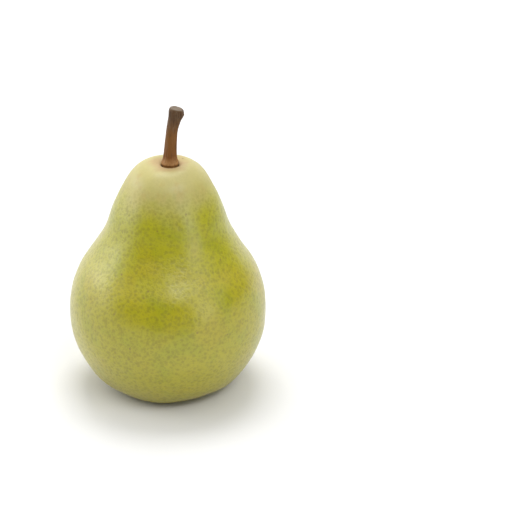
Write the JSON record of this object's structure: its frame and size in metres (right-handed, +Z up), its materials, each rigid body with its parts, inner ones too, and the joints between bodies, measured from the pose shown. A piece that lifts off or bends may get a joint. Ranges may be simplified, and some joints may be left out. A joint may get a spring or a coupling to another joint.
{
  "type": "pear",
  "caption": "Ripe green-yellow dessert pear with its woody stem and the dried calyx underneath, standing upright on the flat spot at its base.",
  "frame": {"origin": "on the resting plane, under the middle of the fruit's plan outline", "axes": "+Z up along the core from the calyx to the stem; +X to the side that the stem's knob leans to; -Y towards the viewer"},
  "size_m": [0.0706, 0.0694, 0.1073],
  "materials": {
    "pear_skin": "satin",
    "stem_bark": "matte",
    "dried_sepal": "matte",
    "dried_filament": "matte"
  },
  "bodies": {
    "root": {"pear_body": "pear_skin", "stem": "stem_bark", "sepal_1": "dried_sepal", "sepal_2": "dried_sepal", "sepal_3": "dried_sepal", "sepal_4": "dried_sepal", "sepal_5": "dried_sepal", "stamen_1": "dried_filament", "stamen_2": "dried_filament", "stamen_3": "dried_filament", "stamen_4": "dried_filament", "stamen_5": "dried_filament", "stamen_6": "dried_filament", "stamen_7": "dried_filament", "stamen_8": "dried_filament", "stamen_9": "dried_filament", "stamen_10": "dried_filament", "style_1": "dried_filament", "style_2": "dried_filament", "style_3": "dried_filament", "style_4": "dried_filament", "style_5": "dried_filament"}
  },
  "joints": []
}
